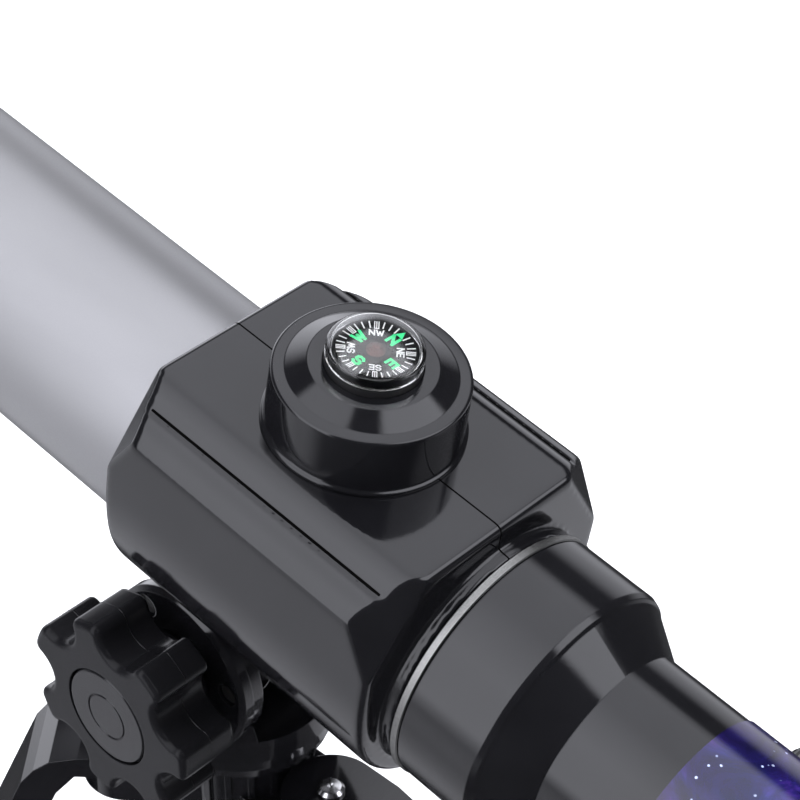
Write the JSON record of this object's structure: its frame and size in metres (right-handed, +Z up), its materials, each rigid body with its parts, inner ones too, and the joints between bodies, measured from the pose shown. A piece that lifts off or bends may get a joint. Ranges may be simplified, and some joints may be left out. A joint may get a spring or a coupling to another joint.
{
  "type": "telescope on tripod",
  "caption": "Small refractor telescope with a compass turret on its housing, held in a clamped yoke on a short three-legged stand with swinging legs.",
  "frame": {"origin": "on the floor under the pan axis, midway along the instrument", "axes": "+Z up along the pan axis, +X towards the objective, +Y to the left of someone looking through the tube; the tube rests pitched 9.85 degrees, objective up"},
  "size_m": [0.4699, 0.1782, 0.3325],
  "materials": {
    "black_plastic": "gloss",
    "black_matte": "matte",
    "black_rubber": "matte",
    "tube_paint": "metallic satin",
    "trim_aluminium": "machined",
    "steel_hardware": "bright",
    "black_steel": "satin",
    "brass_insert": "satin",
    "jewel_brass": "satin",
    "fibre_washer": "matte",
    "lens_glass": "coated",
    "clear_dome": "clear",
    "mirror_glass": "mirror",
    "bright_drawtube": "polished",
    "printed_label": "gloss print",
    "dial_print": "printed"
  },
  "bodies": {
    "tripod_hub": {"tripod_hub": "black_plastic", "pan_bolt": "steel_hardware", "pan_spring_washer": "steel_hardware", "pan_nut": "steel_hardware", "leg_pivot_screws": "steel_hardware", "leg_washers": "steel_hardware", "leg_nuts": "steel_hardware"},
    "left_leg": {"leg_left": "black_plastic", "foot_left": "black_rubber"},
    "right_leg": {"leg_right": "black_plastic", "foot_right": "black_rubber"},
    "rear_leg": {"leg_rear": "black_plastic", "foot_rear": "black_rubber"},
    "yoke": {"yoke": "black_plastic", "cheek_plate_left": "black_plastic", "cheek_plate_right": "black_plastic", "cheek_screws": "black_steel", "tilt_bolt": "steel_hardware", "tilt_friction_washers": "fibre_washer"},
    "clamp_knob": {"tilt_knob": "black_plastic", "knob_insert": "brass_insert", "knob_cap": "black_plastic"},
    "telescope": {"main_tube": "tube_paint", "tube_baffle": "black_matte", "objective_cell": "black_matte", "crown_lens": "lens_glass", "flint_lens": "lens_glass", "lens_retaining_ring": "black_matte", "dew_shield": "black_plastic", "housing_left": "black_plastic", "housing_right": "black_plastic", "housing_screws": "black_steel", "tilt_lug": "black_plastic", "turret_cap": "black_plastic", "compass_case": "black_matte", "compass_pivot_pin": "brass_insert", "compass_dome": "clear_dome", "barrel_trim_ring": "trim_aluminium", "rear_barrel": "black_plastic", "label_sleeve": "printed_label", "pinion_cover": "black_plastic", "pinion_cover_screws": "steel_hardware"},
    "compass_card": {"compass_dial": "dial_print", "compass_jewel_cap": "jewel_brass", "compass_magnet": "steel_hardware"},
    "focus_knobs": {"focus_pinion": "brass_insert", "focus_knob_left": "black_matte", "focus_knob_right": "black_matte"},
    "drawtube": {"drawtube": "bright_drawtube", "focus_rack": "brass_insert"},
    "diagonal": {"diagonal_body": "black_plastic", "diagonal_mirror": "mirror_glass", "diagonal_cover": "black_plastic"},
    "diagonal_lock": {"diagonal_lock_screw": "black_matte"},
    "eyepiece": {"eyepiece_barrel": "bright_drawtube", "eyepiece_body": "black_matte", "eyepiece_field_lens": "lens_glass", "eyepiece_eye_lens": "lens_glass", "eyecup": "black_rubber"},
    "eyepiece_lock": {"eyepiece_lock_screw": "black_matte"}
  },
  "joints": [
    {"name": "pan", "type": "hinge", "parent": "tripod_hub", "child": "yoke", "pos_m": [0, 0, 0.205], "axis": [0, 0, 1], "continuous": true},
    {"name": "tilt", "type": "hinge", "parent": "yoke", "child": "telescope", "pos_m": [0, 0, 0.205], "axis": [0, -1, 0], "range_deg": [-30, 40]},
    {"name": "clamp_knob_turn", "type": "hinge", "parent": "yoke", "child": "clamp_knob", "pos_m": [0, 0, 0.205], "axis": [0, 1, 0], "range_deg": [0, 270]},
    {"name": "focus_slide", "type": "slide", "parent": "telescope", "child": "drawtube", "axis": [-0.9853, 0, -0.1711], "range_m": [0, 0.025]},
    {"name": "focus_knob_turn", "type": "hinge", "parent": "telescope", "child": "focus_knobs", "pos_m": [-0.14275, 0, 0.21168], "axis": [0, 1, 0], "range_deg": [-310, 310]},
    {"name": "diagonal_turn", "type": "hinge", "parent": "drawtube", "child": "diagonal", "pos_m": [-0.20284, 0, 0.22459], "axis": [0.9853, 0, 0.1711], "range_deg": [-90, 90]},
    {"name": "eyepiece_slide", "type": "slide", "parent": "diagonal", "child": "eyepiece", "axis": [-0.1711, 0, 0.9853], "range_m": [0, 0.018]},
    {"name": "diagonal_lock_turn", "type": "hinge", "parent": "drawtube", "child": "diagonal_lock", "pos_m": [-0.17969, 0.0144, 0.22861], "axis": [0, 1, 0], "range_deg": [0, 360]},
    {"name": "eyepiece_lock_turn", "type": "hinge", "parent": "diagonal", "child": "eyepiece_lock", "pos_m": [-0.22085, 0, 0.25495], "axis": [-0.9853, 0, -0.1711], "range_deg": [0, 360]},
    {"name": "compass_turn", "type": "hinge", "parent": "telescope", "child": "compass_card", "pos_m": [-0.04493, 0, 0.30884], "axis": [-0.1711, 0, 0.9853], "continuous": true},
    {"name": "leg_left_swing", "type": "hinge", "parent": "tripod_hub", "child": "left_leg", "pos_m": [0.02221, 0.01864, 0.165], "axis": [0, 0, 1], "range_deg": [0, 90]},
    {"name": "leg_right_swing", "type": "hinge", "parent": "tripod_hub", "child": "right_leg", "pos_m": [0.02221, -0.01864, 0.165], "axis": [0, 0, 1], "range_deg": [-90, 0]},
    {"name": "leg_rear_swing", "type": "hinge", "parent": "tripod_hub", "child": "rear_leg", "pos_m": [-0.029, 0, 0.165], "axis": [0, 0, 1], "range_deg": [-30, 30]}
  ],
  "couplings": [
    {"joint": "focus_knob_turn", "follows": "focus_slide", "rad_per_m": -208.33}
  ]
}
